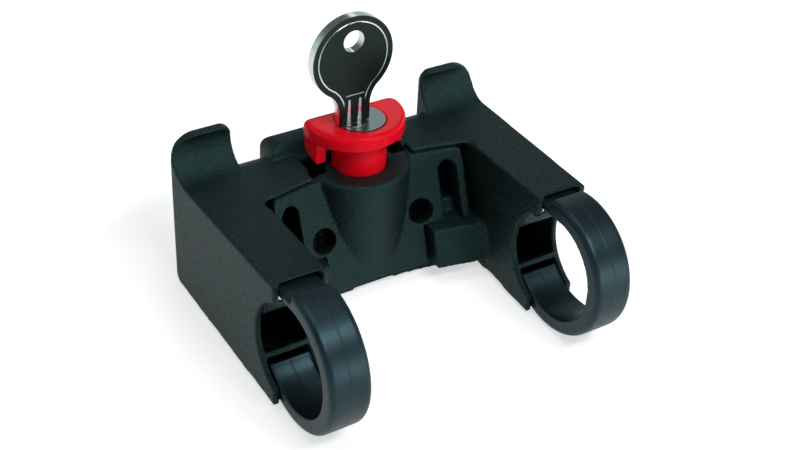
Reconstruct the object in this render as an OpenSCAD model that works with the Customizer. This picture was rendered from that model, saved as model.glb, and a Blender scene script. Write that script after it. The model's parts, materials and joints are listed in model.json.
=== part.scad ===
// Handlebar bag adapter with a locking push button.
// Frame: origin on the handlebar's axis midway between the clamps, X along the
// handlebar, Y forward to the bag, Z up.

/* [Handlebar clamps] */
// Diameter of the handlebar
bar_d = 31.8; // [31:0.1:32.4]
// Radial clearance between handlebar and clamp
bar_clear = 0.1; // [0.05:0.01:0.2]
// Thickness of a clamp band
band_t = 4.8; // [4.2:0.1:5.4]
// Width of a clamp band
band_w = 12.2; // [11:0.1:13]
// Distance between the middles of the two clamps
clamp_pitch = 83.4; // [80:0.2:88]
// Angle below the horizontal at which a band's lower end stops
band_end_angle = 41; // [38:1:46]
// Thickness of a band's tongue inside the arm
tongue_t = 2; // [1.6:0.1:2.4]

/* [Frame] */
// Wall of the hollow arms
arm_wall = 1.8; // [1.4:0.1:2.2]
// Gap on each side of a band inside its arm
band_gap = 0.15; // [0.1:0.05:0.3]
// How much wider each arm's outer face stands at the bag side
arm_flare = 1; // [0.5:0.1:2]
// Height of the arms' top above the handlebar's axis
arm_top = 19.9; // [19:0.1:21]
// Depth of the arms' underside at the clamps
arm_low = 19.8; // [19:0.1:21]
// Depth of the underside at the bag side
far_low = 16.5; // [14.5:0.1:18]
// Distance from the handlebar's axis to the arms' mouths
mouth_y = 6.2; // [5.5:0.1:8]
// Distance from the handlebar's axis to the bag side
far_y = 67.5; // [66.5:0.5:72]
// Upright corner radius at the bag side
corner_r = 3; // [2:0.5:5]
// Radius along the bag side's top edge
crown_r = 8.5; // [6:0.5:9.5]
// Radius along the arms' long edges
edge_r = 2.6; // [1.5:0.1:3.5]

/* [Bag hooks] */
// Height of the hooks' top
hook_top = 31.5; // [30:0.1:33]
// Distance of a hook's inner side from the middle
hook_in = 31.9; // [30:0.1:34]
// Thickness of a hook at its scoop
hook_t = 1.9; // [1.6:0.1:3]
// Radius of the scoop behind a hook
scoop_r = 8; // [7:0.1:8.2]
// How far the hook's lip stands over the scoop
lip = 1.5; // [0.8:0.1:2]
// Outer top corner radius of a hook
hook_out_r = 8; // [4:0.5:9]
// Inner top corner radius of a hook
hook_in_r = 3.4; // [2:0.2:5]

/* [Guard behind the button] */
// Half width of the guard
guard_x = 22.2; // [20:0.1:24]
// Height of the guard's top
guard_top = 23.8; // [22.5:0.1:25]
// Depth of the guard from front to back
guard_t = 8.5; // [7:0.1:9]

/* [Mechanism carrier] */
// Lean of the carrier plate
lean = 19.8; // [18:0.2:21]
// Distance to the plate's top edge in the middle
plate_y = 45.5; // [45:0.1:46]
// Height of the plate's top edge
plate_top = 18.6; // [18:0.1:19]
// Depth of the plate's bottom edge
plate_low = 13.4; // [12.5:0.1:14]
// Half width of the plate
plate_x = 31.2; // [30.6:0.1:31.8]
// Thickness of the plate
plate_t = 5; // [4.4:0.1:5.4]
// Radius of the plate's hollow front
plate_r = 128; // [100:1:200]
// Radius of the button housing
house_r = 15.6; // [15.2:0.1:16.2]
// Height of the button housing's top
house_top = 19.2; // [18.8:0.1:19.8]
// Distance of the cable slots from the middle
slot_x = 26.2; // [25.8:0.1:26.6]
// Width of a cable slot
slot_w = 5.6; // [5:0.1:6]
// Distance of the carrier screws from the middle
screw_x = 16.3; // [16:0.1:16.6]
// Diameter of the screw recesses
recess_d = 7.6; // [7.2:0.1:7.8]

/* [Button] */
// Distance from the handlebar's axis to the button's axis
button_y = 48.2; // [48:0.1:48.6]
// Diameter of the button's cylinder
button_d = 15.8; // [15.4:0.1:16]
// Height of the button's top
button_top = 33.4; // [32.5:0.1:34.5]
// Thickness of the button's head
head_t = 4.5; // [4:0.1:5]
// Half width of the head and radius of its round side
head_x = 15.3; // [15:0.1:15.6]
// Distance of the head's straight side from the button's axis
head_back = 7.3; // [7:0.1:7.6]
// Radius of the head's two corners
head_corner = 2.8; // [2.4:0.1:3.2]
// Travel of the button
travel = 7; // [5:0.5:7]
// Sliding clearance round the button
slide_gap = 0.25; // [0.2:0.05:0.35]

/* [Lock] */
// Diameter of the lock's face
face_d = 14.4; // [14:0.1:14.8]
// Wall of the button round the lock's barrel
barrel_wall = 1.3; // [1.2:0.1:1.5]
// Diameter of the plug
plug_d = 6.6; // [6.4:0.1:6.8]
// Diameter of the plug's face
plug_face_d = 7.4; // [7.2:0.1:7.6]
// Sideways offset of the plug
plug_off = 2.4; // [2.2:0.1:2.5]
// Running clearance of the plug
plug_gap = 0.06; // [0.04:0.01:0.1]
// Width of the key's blade
blade_w = 4.2; // [4:0.1:4.4]
// Thickness of the key's blade
blade_t = 1.6; // [1.4:0.1:1.7]
// Thickness of the key's bow
bow_t = 2.7; // [2.3:0.1:3]
// Radius of the key's bow
bow_r = 12.5; // [11.5:0.1:13.5]
// How far the bow's middle stands beside the blade
bow_off = 1.4; // [0.5:0.1:2]
// Height of the key's top
key_top = 66.8; // [64:0.2:70]
// Diameter of the key's hole
key_hole_d = 6.4; // [5:0.1:7]

/* [Fasteners] */
// Thread diameter of the clamp screws
clamp_screw_d = 5; // [4.8:0.1:5.2]
// Height of the clamp screws' axis
clamp_screw_z = 9.5; // [9:0.1:10]
// Thread diameter of the carrier screws
carrier_screw_d = 3; // [2.6:0.1:3.2]

/* [Hidden] */
$fn = 64;

big = 200;
fit_gap = 0.15;
bore_r = bar_d / 2 + bar_clear;
band_r = bore_r + band_t;
clamp_x = clamp_pitch / 2;
arm_in = clamp_x - band_w / 2 - band_gap - arm_wall;
arm_out = clamp_x + band_w / 2 + band_gap + arm_wall;
far_x = arm_out + arm_flare;
flare_y = far_y - corner_r;
flare_angle = atan(arm_flare / (flare_y - mouth_y));
hollow_y = far_y - crown_r;

band_top = arm_top - arm_wall;
seat_r = plate_r + plate_t + fit_gap;
ledge_z = plate_top + fit_gap;
ledge_back = 0.8;
front_y = 20;

bay_x = 10.4;
bay_y = far_y - 4;
bay_floor = 2.1 - far_low;
roof_z = arm_top - 5.9;
notch_x = head_x + 1.1;
notch_y = button_y + head_back + 0.9;
notch_floor = 10;

block_x = 17.4;
block_top = -2.2;
block_proud = 3.5;
notch_gap = 0.7;
slot_cap = 3.2;
pocket_w = slot_w + 1.8;
pocket_floor = 1.5;
pocket_top = plate_top - 1.4;

house_y = button_y + 1.4;
house_low = 1.4 - plate_low;
house_low_r = house_r - 0.9;
house_wall = 2.3;
house_in_r = house_r - house_wall;
deck_t = 2.4;
cavity_floor = -8;

screw_z = 1.9;
screw_floor = 1.2;
boss_h = 2.6;
boss_r = recess_d / 2 + 0.8;
screw_seat = plate_t + boss_h - screw_floor;
carrier_screw_len = 12;
clamp_head_d = 1.7 * clamp_screw_d;
clamp_head_h = clamp_screw_d;
sink_r = clamp_head_d / 2 + 0.6;
sink_depth = clamp_head_h + 1.2;
washer_t = 1;
nut_w = 8;
nut_t = 4;
nut_y = 19;

button_low = 14;
leg_low = 22;
leg_in = button_d / 2 + 3;
leg_front = button_y - 0.4;
leg_back = button_y + head_back - 0.9;
leg_rise = 4;
plug_x = -plug_off;
plug_y = button_y - 0.4;
face_t = 1.5;
barrel_d = button_d - 2 * barrel_wall;
barrel_low = 12.4;
groove_z = 13;
clip_t = 0.8;
clip_open = 0.6 * barrel_d;
cam_t = 1.6;
cam_len = 8.6;
cam_turn_r = 3.3;
tail_w = 3.4;
neck_left = 5.4;
neck_right = 4.3;
groove_top = 41.4;

slider_r = 9.9;
slider_top = button_low + 2.4;
slider_block_top = 4;
cam_window_low = slider_block_top + 1.5;
slider_low = -4.6;
slider_front = button_y - 6.4;
slider_slack = 0.5;
slider_back = bay_y - 0.5;
nose_x = 4.8;
nose_reach = 2.6;
nose_top = -0.6;
spring_y = 50;
spring_r = 3.9;
spring_wire = 0.9;
spring_top = 3;
spring_turns = 7;
spring_bore_r = 5;

wafer_count = 5;
wafer_t = 0.9;
wafer_w = plug_d - 1.2;
wafer_h = blade_t + 1.7;
wafer_pitch = 3;
wafer_low = 15.5;

// Turns a side drawing (y, z) into a body between two x places.
module along_x(x0, x1) {
  translate([x0, 0, 0]) rotate([90, 0, 90]) linear_extrude(x1 - x0) children();
}

// Turns a front drawing (x, z) into a body between two y places.
module along_y(y0, y1) {
  translate([0, y1, 0]) rotate([90, 0, 0]) linear_extrude(y1 - y0) children();
}

// Turns a plan drawing (x, y) into a body between two heights.
module along_z(z0, z1) {
  translate([0, 0, z0]) linear_extrude(z1 - z0) children();
}

module both_sides() {
  children();
  mirror([1, 0, 0]) children();
}

module box(x0, x1, y0, y1, z0, z1) {
  translate([x0, y0, z0]) cube([x1 - x0, y1 - y0, z1 - z0]);
}

module rod(r, z0, z1, x = 0, y = 0) {
  translate([x, y, z0]) cylinder(r = r, h = z1 - z0);
}

// Rectangle from (x0, y0) to (x1, y1) with rounded corners.
module rounded(x0, x1, y0, y1, r) {
  translate([x0 + r, y0]) square([x1 - x0 - 2 * r, y1 - y0]);
  translate([x0, y0 + r]) square([x1 - x0, y1 - y0 - 2 * r]);
  for (x = [x0 + r, x1 - r]) {
    for (y = [y0 + r, y1 - r]) {
      translate([x, y]) circle(r);
    }
  }
}

// Carries its children to the leaning carrier plate: x along the plate,
// y through it, z up its slope, with the origin at its top edge.
module on_plate() {
  translate([0, plate_y, plate_top]) rotate([-lean, 0, 0]) children();
}

// Body on the rider's side of a hollow leaning face of radius r.
module before_face(r) {
  on_plate() translate([0, -plate_r, -big / 2]) cylinder(r = r, h = big, $fn = 180);
}

// Frame

module frame_plan() {
  polygon([[arm_out, mouth_y], [far_x, flare_y], [far_x - corner_r, flare_y],
    [far_x - corner_r, far_y], [corner_r - far_x, far_y], [corner_r - far_x, flare_y],
    [-far_x, flare_y], [-arm_out, mouth_y]]);
  for (side = [-1, 1]) {
    translate([side * (far_x - corner_r), flare_y]) circle(corner_r);
  }
}

module frame_side() {
  low_r = 3.4;
  difference() {
    polygon([[mouth_y, -arm_low], [far_y - low_r, -far_low], [far_y, -far_low + low_r],
      [far_y, arm_top], [mouth_y, arm_top]]);
    translate([far_y - crown_r, arm_top - crown_r]) difference() {
      square(crown_r + 1);
      circle(crown_r);
    }
  }
}

// Front view of an arm, with its outer face on x = 0.
module arm_front() {
  rounded(-big, 0, -big / 2, arm_top, edge_r);
}

module frame_block() {
  intersection() {
    along_z(-big / 2, big / 2) frame_plan();
    along_x(-big / 2, big / 2) frame_side();
    for_arm_faces();
  }
}

// Space between the two outer faces, whose top edges are rounded.
module for_arm_faces() {
  intersection() {
    arm_face_space();
    mirror([1, 0, 0]) arm_face_space();
  }
}

module arm_face_space() {
  translate([arm_out, mouth_y, 0]) rotate([0, 0, -flare_angle])
    along_y(-20, big / 2) arm_front();
}

// Side view of a hook: a thin upright with a scoop, and a lip that leans over it.
module hook_side() {
  face = far_y - hook_t;
  middle = arm_top + scoop_r;
  rise = hook_top - middle - 0.4;
  lip_r = (rise * rise + lip * lip) / (2 * lip);
  difference() {
    square_from(face - scoop_r, far_y, roof_z, hook_top);
    intersection() {
      translate([face - scoop_r, middle]) circle(scoop_r);
      square_from(0, far_y, 0, middle);
    }
    intersection() {
      translate([face - lip_r, middle]) circle(lip_r);
      square_from(0, far_y, middle, big);
    }
    square_from(0, face - lip, middle, big);
  }
}

module square_from(x0, x1, y0, y1) {
  translate([x0, y0]) square([x1 - x0, y1 - y0]);
}

// Front view of the right hook.
module hook_front() {
  hook_out = far_x - 0.3;
  difference() {
    square_from(hook_in, hook_out, 0, hook_top);
    translate([hook_in + hook_in_r, hook_top - hook_in_r]) difference() {
      square_from(-hook_in_r - 1, 0, 0, hook_in_r + 1);
      circle(hook_in_r);
    }
    translate([hook_out - hook_out_r, hook_top - hook_out_r]) difference() {
      square_from(0, hook_out_r + 1, 0, hook_out_r + 1);
      circle(hook_out_r);
    }
  }
}

module hook() {
  intersection() {
    along_x(hook_in - 1, far_x) hook_side();
    along_y(far_y - 12, far_y) hook_front();
    along_z(0, big / 2) frame_plan();
  }
}

module guard() {
  top_r = 3;
  intersection() {
    along_x(-guard_x, guard_x) rounded(far_y - guard_t, far_y, 0, guard_top, top_r);
    along_y(far_y - 12, far_y) rounded(-guard_x, guard_x, 0, guard_top, 4);
  }
}

// Hollow of the right arm, open at its mouth.
module arm_hollow() {
  back = hollow_y;
  drop = (arm_low - far_low) / (far_y - mouth_y);
  intersection() {
    along_z(-big / 2, big / 2) polygon([[arm_in + arm_wall, -1], [arm_in + arm_wall, back],
      [arm_out - arm_wall + arm_flare, back], [arm_out - arm_wall, mouth_y],
      [arm_out - arm_wall, -1]]);
    along_x(0, big / 2) polygon([[-1, arm_wall - arm_low], [mouth_y, arm_wall - arm_low],
      [back, arm_wall - arm_low + drop * (back - mouth_y)], [back, band_top], [-1, band_top]]);
  }
}

// Passage and sunk seat for the right arm's clamp screw.
module clamp_screw_hole() {
  translate([clamp_x, 0, clamp_screw_z]) rotate([-90, 0, 0]) {
    cylinder(r = clamp_screw_d / 2 + 0.25, h = far_y + 1);
    translate([0, 0, far_y - sink_depth]) cylinder(r = sink_r, h = sink_depth + 1);
  }
}

// Space between the arms, back to the ledge over the carrier plate.
module arm_gap() {
  intersection() {
    union() {
      box(-arm_in, arm_in, -big / 2, far_y, -big / 2, big / 2);
      both_sides() inner_edge();
    }
    before_face(plate_r + ledge_back);
  }
}

// Rounds the top edge on the inner side of the right arm.
module inner_edge() {
  along_y(-big / 2, far_y) difference() {
    square_from(arm_in - 1, arm_in + edge_r, arm_top - edge_r, arm_top + 1);
    translate([arm_in + edge_r, arm_top - edge_r]) circle(edge_r);
  }
}

// Seat that the carrier plate lies in, under the ledge.
module plate_seat() {
  intersection() {
    box(-arm_in, arm_in, -big / 2, far_y, -big / 2, ledge_z);
    before_face(seat_r);
  }
}

// Bay that the slider and the button move in.
module bay() {
  box(-bay_x, bay_x, front_y, bay_y, bay_floor, roof_z);
  box(-bay_x, bay_x, front_y, notch_y, bay_floor, arm_top + 5);
  box(-notch_x, notch_x, front_y, notch_y, notch_floor, arm_top + 5);
  box(-nose_x - 0.4, nose_x + 0.4, bay_y - 1, far_y + 1, slider_low - travel - slider_slack, nose_top + slider_slack);
}

// Hollow behind a cable slot.
module slot_pocket() {
  box(slot_x - pocket_w / 2, slot_x + pocket_w / 2, front_y, far_y - 6, pocket_floor, pocket_top);
}

// Lug on the right arm that holds the plate's lower corner.
module corner_lug() {
  difference() {
    intersection() {
      box(block_x, arm_in + 1, front_y, far_y - 10, -plate_low, block_top);
      before_face(seat_r + 2);
    }
    before_face(plate_r - block_proud);
  }
}

// Rib across the right arm that the band's lower end stops against.
module stop_rib() {
  rib_t = 1.6;
  rib_angle = band_end_angle - 9;
  intersection() {
    rotate([-rib_angle, 0, 0]) box(arm_in + 1, arm_out + 1, bore_r, bore_r + 6, -rib_t / 2, rib_t / 2);
    along_z(-big / 2, big / 2) frame_plan();
  }
}

// Room that the right clamp's band needs at the arm's mouth.
module band_room() {
  half = band_w / 2 + band_gap;
  translate([clamp_x - half, 0, 0]) rotate([0, 90, 0])
    cylinder(r = band_r + fit_gap, h = 2 * half, $fn = 128);
}

// Post that keeps the button's spring in place.
module spring_post() {
  rod(spring_r - spring_wire / 2 - 0.5, bay_floor - 1, bay_floor + 5, 0, spring_y);
}

module hollow_frame() {
  difference() {
    union() {
      frame_block();
      both_sides() hook();
      guard();
    }
    arm_gap();
    plate_seat();
    both_sides() arm_hollow();
    both_sides() clamp_screw_hole();
    both_sides() band_room();
    bay();
    both_sides() slot_pocket();
    rotate([0, 90, 0]) cylinder(r = bore_r, h = big, center = true, $fn = 128);
  }
}

module main_frame() {
  color([0.10, 0.11, 0.11]) difference() {
    union() {
      hollow_frame();
      both_sides() corner_lug();
      both_sides() stop_rib();
      spring_post();
    }
    both_sides() carrier_screw_pilot();
  }
}

// Carrier

// Place of a carrier screw: its axis stands square to the leaning plate.
module at_carrier_screw() {
  drop = (plate_top - screw_z) / cos(lean);
  sag = plate_r - sqrt(plate_r * plate_r - screw_x * screw_x);
  on_plate() translate([screw_x, -sag, -drop]) rotate([-90, 0, 0]) children();
}

// Pilot for a carrier screw, with the room that the carrier's boss takes.
module carrier_screw_pilot() {
  at_carrier_screw() {
    cylinder(r = carrier_screw_d / 2, h = screw_seat + carrier_screw_len);
    translate([0, 0, -plate_t])
      cylinder(r = boss_r + fit_gap, h = 2 * plate_t + boss_h + fit_gap);
  }
}

// Boss behind the plate that a carrier screw is sunk in.
module screw_boss() {
  at_carrier_screw() translate([0, 0, plate_t / 2])
    cylinder(r = boss_r, h = plate_t / 2 + boss_h);
}

module plate_front() {
  neck = block_x - notch_gap;
  shelf = block_top + fit_gap;
  difference() {
    rounded(-plate_x, plate_x, -plate_low, plate_top, 2);
    both_sides_flat() square_from(neck, plate_x + 1, -plate_low - 1, shelf);
    both_sides_flat() translate([slot_x, 0]) cable_slot();
  }
}

module both_sides_flat() {
  children();
  mirror([1, 0]) children();
}

// Slot that is open at its lower end and round at its top.
module cable_slot() {
  top = plate_top - slot_cap - slot_w / 2;
  square_from(-slot_w / 2, slot_w / 2, block_top - 1, top);
  translate([0, top]) circle(slot_w / 2);
}

module plate() {
  intersection() {
    along_y(0, far_y) plate_front();
    difference() {
      before_face(plate_r + plate_t);
      before_face(plate_r);
    }
  }
}

// Half barrel that grows out of the plate and holds the button.
module housing() {
  round_r = 1.3;
  intersection() {
    translate([0, house_y, 0]) rotate_extrude() difference() {
      polygon([[0, house_low], [house_low_r, house_low], [house_r, house_top], [0, house_top]]);
      translate([house_r - round_r, house_top - round_r]) difference() {
        square(round_r + 1);
        circle(round_r);
      }
    }
    before_face(plate_r + plate_t);
    box(-notch_x, notch_x, 0, far_y, -plate_low, house_top + 1);
  }
}

module mechanism_carrier() {
  color([0.11, 0.12, 0.12]) difference() {
    union() {
      difference() {
        union() {
          plate();
          housing();
        }
        rod(house_in_r, cavity_floor, house_top - deck_t, 0, house_y);
      }
      both_sides() screw_boss();
    }
    rod(button_d / 2 + slide_gap, 0, house_top + 1, 0, button_y);
    box(-notch_x, notch_x, leg_front - 0.6, far_y, notch_floor, house_top + 1);
    both_sides() at_carrier_screw() {
      translate([0, 0, -plate_t]) cylinder(r = recess_d / 2, h = plate_t + screw_seat);
      cylinder(r = carrier_screw_d / 2 + 0.3, h = big);
    }
  }
}

module carrier_screws() {
  head_d = 2 * carrier_screw_d;
  head_h = 1.9;
  color([0.16, 0.16, 0.17]) both_sides() at_carrier_screw() difference() {
    union() {
      translate([0, 0, screw_seat - head_h]) cylinder(d = head_d, h = head_h);
      translate([0, 0, screw_seat - 0.5])
        cylinder(r = carrier_screw_d / 2 - 0.02, h = carrier_screw_len);
    }
    for (turn = [0, 90]) {
      translate([0, 0, screw_seat - head_h]) rotate([0, 0, turn]) cube([3.2, 0.8, 2.2], center = true);
    }
  }
}

// Clamps

// Side view of the ring part, from the tongue's step round to the lower end.
module ring_side(step) {
  difference() {
    circle(band_r, $fn = 128);
    circle(bore_r, $fn = 128);
    polygon([[0, 0], [big * cos(band_end_angle), -big * sin(band_end_angle)], [big, 0],
      [big, big], [step, big], [step, bore_r]]);
  }
}

// Side view of the tongue that reaches into the arm, with its block for the nut.
module tongue_side(step) {
  top = band_top - fit_gap;
  difference() {
    union() {
      square_from(step - 3, nut_y, top - tongue_t, top);
      square_from(nut_y - nut_t, nut_y + nut_t, clamp_screw_z - nut_w / 2 - 1.4, top);
    }
    circle(bore_r, $fn = 128);
  }
}

// Drum with rounded rims, which rounds a band's outer edges.
module rounded_drum() {
  round_r = 1.6;
  half = band_w / 2;
  rotate_extrude($fn = 128) {
    square_from(0, band_r, round_r - half, half - round_r);
    square_from(0, band_r - round_r, -half, half);
    for (end = [-1, 1]) {
      translate([band_r - round_r, end * (half - round_r)]) circle(round_r, $fn = 32);
    }
  }
}

// Pocket that the square nut drops into from above, and the screw's passage.
module nut_pocket(x) {
  half = nut_w / 2 + 0.1;
  box(x - half, x + half, nut_y - nut_t / 2 - 0.1, nut_y + nut_t / 2 + 0.1,
    clamp_screw_z - half, arm_top);
  translate([x, bore_r - 2, clamp_screw_z]) rotate([-90, 0, 0])
    cylinder(r = clamp_screw_d / 2 + 0.3, h = nut_y);
}

module clamp_strap(side, step) {
  x = side * clamp_x;
  color([0.13, 0.15, 0.17]) difference() {
    union() {
      intersection() {
        along_x(x - band_w / 2, x + band_w / 2) ring_side(step);
        translate([x, 0, 0]) rotate([0, 90, 0]) rounded_drum();
      }
      along_x(x - band_w / 2, x + band_w / 2) tongue_side(step);
    }
    nut_pocket(x);
  }
}

module clamp_strap_left() { clamp_strap(-1, 0.6); }
module clamp_strap_right() { clamp_strap(1, 4); }

// Places a clamp screw's parts: z runs forward along the screw's axis.
module at_clamp_screw(side) {
  translate([side * clamp_x, 0, clamp_screw_z]) rotate([-90, 0, 0]) children();
}

module clamp_screw(side) {
  head_y = far_y - sink_depth + washer_t;
  socket_d = 4.6;
  color([0.72, 0.73, 0.75]) at_clamp_screw(side) difference() {
    union() {
      translate([0, 0, nut_y - nut_t]) cylinder(d = clamp_screw_d, h = head_y - nut_y + nut_t);
      translate([0, 0, head_y]) cylinder(d = clamp_head_d, h = clamp_head_h);
    }
    translate([0, 0, head_y + clamp_head_h - 2.6]) cylinder(d = socket_d, h = 3, $fn = 6);
  }
}

module clamp_washer(side) {
  color([0.75, 0.76, 0.78]) at_clamp_screw(side)
    translate([0, 0, far_y - sink_depth]) difference() {
      cylinder(r = sink_r - 0.2, h = washer_t);
      translate([0, 0, -1]) cylinder(r = clamp_screw_d / 2 + 0.2, h = washer_t + 2);
    }
}

module clamp_nut(side) {
  color([0.70, 0.70, 0.68]) at_clamp_screw(side) translate([0, 0, nut_y]) difference() {
    cube([nut_w, nut_w, nut_t], center = true);
    cylinder(d = clamp_screw_d, h = nut_t + 2, center = true);
  }
}

module clamp_screw_left() { clamp_screw(-1); }
module clamp_screw_right() { clamp_screw(1); }
module clamp_washer_left() { clamp_washer(-1); }
module clamp_washer_right() { clamp_washer(1); }
module clamp_nut_left() { clamp_nut(-1); }
module clamp_nut_right() { clamp_nut(1); }

// Button

// Outline of the button's head: round to the rider, straight to the bag.
module head_plan(inset = 0) {
  corner_x = head_x - head_corner;
  translate([0, button_y + head_back - head_corner]) {
    intersection() {
      circle(head_x - inset);
      square_from(-head_x, head_x, -head_x, 0);
    }
    square_from(-corner_x, corner_x, -1, head_corner - inset);
    both_sides_flat() intersection() {
      translate([corner_x, 0]) circle(head_corner - inset);
      square_from(corner_x - 1, head_x, 0, head_corner);
    }
  }
}

// Head whose upper edge is rounded in fine steps.
module button_head() {
  round_r = 1.4;
  steps = 5;
  low = button_top - head_t;
  along_z(low, button_top - round_r) head_plan();
  for (i = [1 : steps]) {
    turn = 90 * (i - 0.5) / steps;
    along_z(button_top - round_r - 0.01, button_top - round_r + round_r * sin(90 * i / steps))
      head_plan(round_r * (1 - cos(turn)));
  }
}

// Leg under the right side of the head, whose foot slopes up to the bag side.
module button_leg() {
  top = button_top - head_t + 1;
  intersection() {
    along_x(leg_in, head_x) polygon([[leg_front, leg_low], [leg_back, leg_low + leg_rise],
      [leg_back, top], [leg_front, top]]);
    along_z(0, big) head_plan(0.3);
  }
}

module release_button() {
  color([0.85, 0.05, 0.10]) difference() {
    union() {
      button_head();
      rod(button_d / 2, button_low, button_top - head_t + 1, 0, button_y);
      both_sides() button_leg();
      both_sides() box(0, slider_r - 0.2, button_y - 1.4, button_y + 1.4, button_low, button_low + 1.4);
    }
    rod(face_d / 2 + 0.05, button_top - face_t, button_top + 1, 0, button_y);
    rod(barrel_d / 2 + 0.05, 0, button_top, 0, button_y);
  }
}

module latch_slider() {
  tube_in_r = button_d / 2 + 0.05;
  color([0.13, 0.14, 0.14]) difference() {
    union() {
      intersection() {
        rod(slider_r, slider_block_top - 1, slider_top, 0, button_y);
        box(-slider_r, slider_r, 0, notch_y - slider_slack, slider_low, slider_top + 1);
      }
      box(-slider_r, slider_r, slider_front, slider_back, slider_low, slider_block_top);
      along_x(-nose_x, nose_x) polygon([[slider_back - 1, slider_low],
        [far_y + nose_reach, slider_low], [far_y + nose_reach, slider_low + 1],
        [far_y, nose_top], [slider_back - 1, nose_top]]);
    }
    rod(tube_in_r, cam_window_low, slider_top + 1, 0, button_y);
    box(-button_d, button_d, button_y - 1.6, button_y + 1.6, button_low - 0.1, button_low + 1.5);
    box(-tube_in_r, slider_r + 1, 0, plug_y + cam_turn_r + 0.1, cam_window_low, button_low - 0.6);
    rod(spring_bore_r, slider_low - 1, spring_top, 0, spring_y);
  }
}

// Compression spring, with its wire swept round a helix.
module button_spring() {
  steps = 16;
  sides = 8;
  low = bay_floor + spring_wire / 2 + 0.02;
  rise = spring_top - bay_floor - spring_wire - 0.04;
  count = spring_turns * steps;
  points = [for (i = [0 : count]) for (k = [0 : sides - 1])
    let (turn = 360 * i / steps, out = spring_r + cos(360 * k / sides) * spring_wire / 2)
      [out * cos(turn), out * sin(turn),
        low + rise * i / count + sin(360 * k / sides) * spring_wire / 2]];
  walls = [for (i = [0 : count - 1]) for (k = [0 : sides - 1])
    let (a = i * sides + k, b = i * sides + (k + 1) % sides)
      [a, a + sides, b + sides, b]];
  ends = [[for (k = [0 : sides - 1]) k], [for (k = [0 : sides - 1]) count * sides + sides - 1 - k]];
  color([0.75, 0.75, 0.77]) translate([0, spring_y, 0])
    polyhedron(points = points, faces = concat(walls, ends));
}

// Lock

module lock_barrel() {
  color([0.62, 0.63, 0.65]) difference() {
    union() {
      rod(face_d / 2, button_top - face_t, button_top + 0.1, 0, button_y);
      rod(barrel_d / 2, barrel_low, button_top - face_t, 0, button_y);
    }
    rod(plug_d / 2 + plug_gap, 0, big, plug_x, plug_y);
    rod(plug_face_d / 2 + plug_gap, button_top - face_t, big, plug_x, plug_y);
    difference() {
      rod(big, groove_z, groove_z + clip_t + 0.1, 0, button_y);
      rod(barrel_d / 2 - 0.5, 0, big, 0, button_y);
    }
  }
}

// Open spring clip in the barrel's groove, under the button.
module barrel_clip() {
  inner_r = barrel_d / 2 - 0.45;
  color([0.70, 0.71, 0.73]) difference() {
    rod(button_d / 2 - 0.4, groove_z + 0.05, groove_z + 0.05 + clip_t, 0, button_y);
    rod(inner_r, 0, big, 0, button_y);
    box(-clip_open / 2, clip_open / 2, 0, button_y, 0, big);
  }
}

module wafer_places() {
  for (i = [0 : wafer_count - 1]) {
    translate([plug_x, plug_y, wafer_low + i * wafer_pitch]) children();
  }
}

module lock_plug() {
  face_low = button_top - face_t + 0.06;
  color([0.80, 0.81, 0.83]) difference() {
    union() {
      rod(plug_face_d / 2, face_low, button_top + 0.4, plug_x, plug_y);
      rod(plug_d / 2, barrel_low - 0.1, face_low + 0.1, plug_x, plug_y);
      box(plug_x - tail_w / 2, plug_x + tail_w / 2, plug_y - tail_w / 2, plug_y + tail_w / 2,
        barrel_low - 0.2 - cam_t, barrel_low);
    }
    box(plug_x - blade_w / 2 - 0.12, plug_x + blade_w / 2 + 0.12,
      plug_y - blade_t / 2 - 0.12, plug_y + blade_t / 2 + 0.12, barrel_low + 1, big);
    wafer_places() translate([0, 0, wafer_t / 2])
      cube([plug_d + 1, wafer_h + 0.2, wafer_t + 0.2], center = true);
    rod(1.1, 0, barrel_low + 1.5, plug_x, plug_y);
  }
}

module lock_wafers() {
  color([0.80, 0.62, 0.25]) wafer_places() difference() {
    translate([0, 0, wafer_t / 2]) cube([wafer_w, wafer_h, wafer_t], center = true);
    cube([blade_w + 0.2, blade_t + 0.2, 3 * wafer_t], center = true);
  }
}

module lock_cam() {
  top = barrel_low - 0.2;
  color([0.72, 0.73, 0.74]) difference() {
    union() {
      rod(cam_turn_r, top - cam_t, top, plug_x, plug_y);
      box(plug_x - 2.2, plug_x + 2.2, plug_y - cam_len, plug_y, top - cam_t, top);
    }
    box(plug_x - tail_w / 2 - 0.05, plug_x + tail_w / 2 + 0.05,
      plug_y - tail_w / 2 - 0.05, plug_y + tail_w / 2 + 0.05, 0, big);
  }
}

module cam_screw() {
  top = barrel_low - 0.2 - cam_t;
  color([0.65, 0.66, 0.68]) difference() {
    union() {
      rod(2.7, top - 1.6, top, plug_x, plug_y);
      rod(1.08, top - 0.5, barrel_low + 1, plug_x, plug_y);
    }
    for (turn = [0, 90]) {
      translate([plug_x, plug_y, top - 1.6]) rotate([0, 0, turn]) cube([3, 0.6, 1.2], center = true);
    }
  }
}

// Key

// Front view of the bow and the neck down to a height, drawn inside its outline
// by the inset.
module key_head(low_z, inset = 0) {
  bow_z = key_top - bow_r;
  translate([-bow_off, bow_z]) {
    circle(bow_r - inset);
    key_half(neck_right + bow_off, low_z - bow_z, inset);
    mirror([1, 0]) key_half(neck_left - bow_off, low_z - bow_z, inset);
  }
}

// Right half of the neck, with the hollow corner that runs it into the bow.
// The neck's side stands at reach from the bow's middle.
module key_half(reach, low, inset) {
  hollow_r = 8;
  hollow_x = reach + hollow_r;
  hollow_z = 0.1 - sqrt(pow(bow_r + hollow_r, 2) - pow(hollow_x, 2));
  touch = bow_r / (bow_r + hollow_r);
  side = reach - inset;
  difference() {
    polygon([[-1, low], [-1, 0], [hollow_x * touch, hollow_z * touch], [hollow_x, hollow_z],
      [side, hollow_z], [side, low]]);
    translate([hollow_x, hollow_z]) circle(hollow_r + inset);
  }
}

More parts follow.
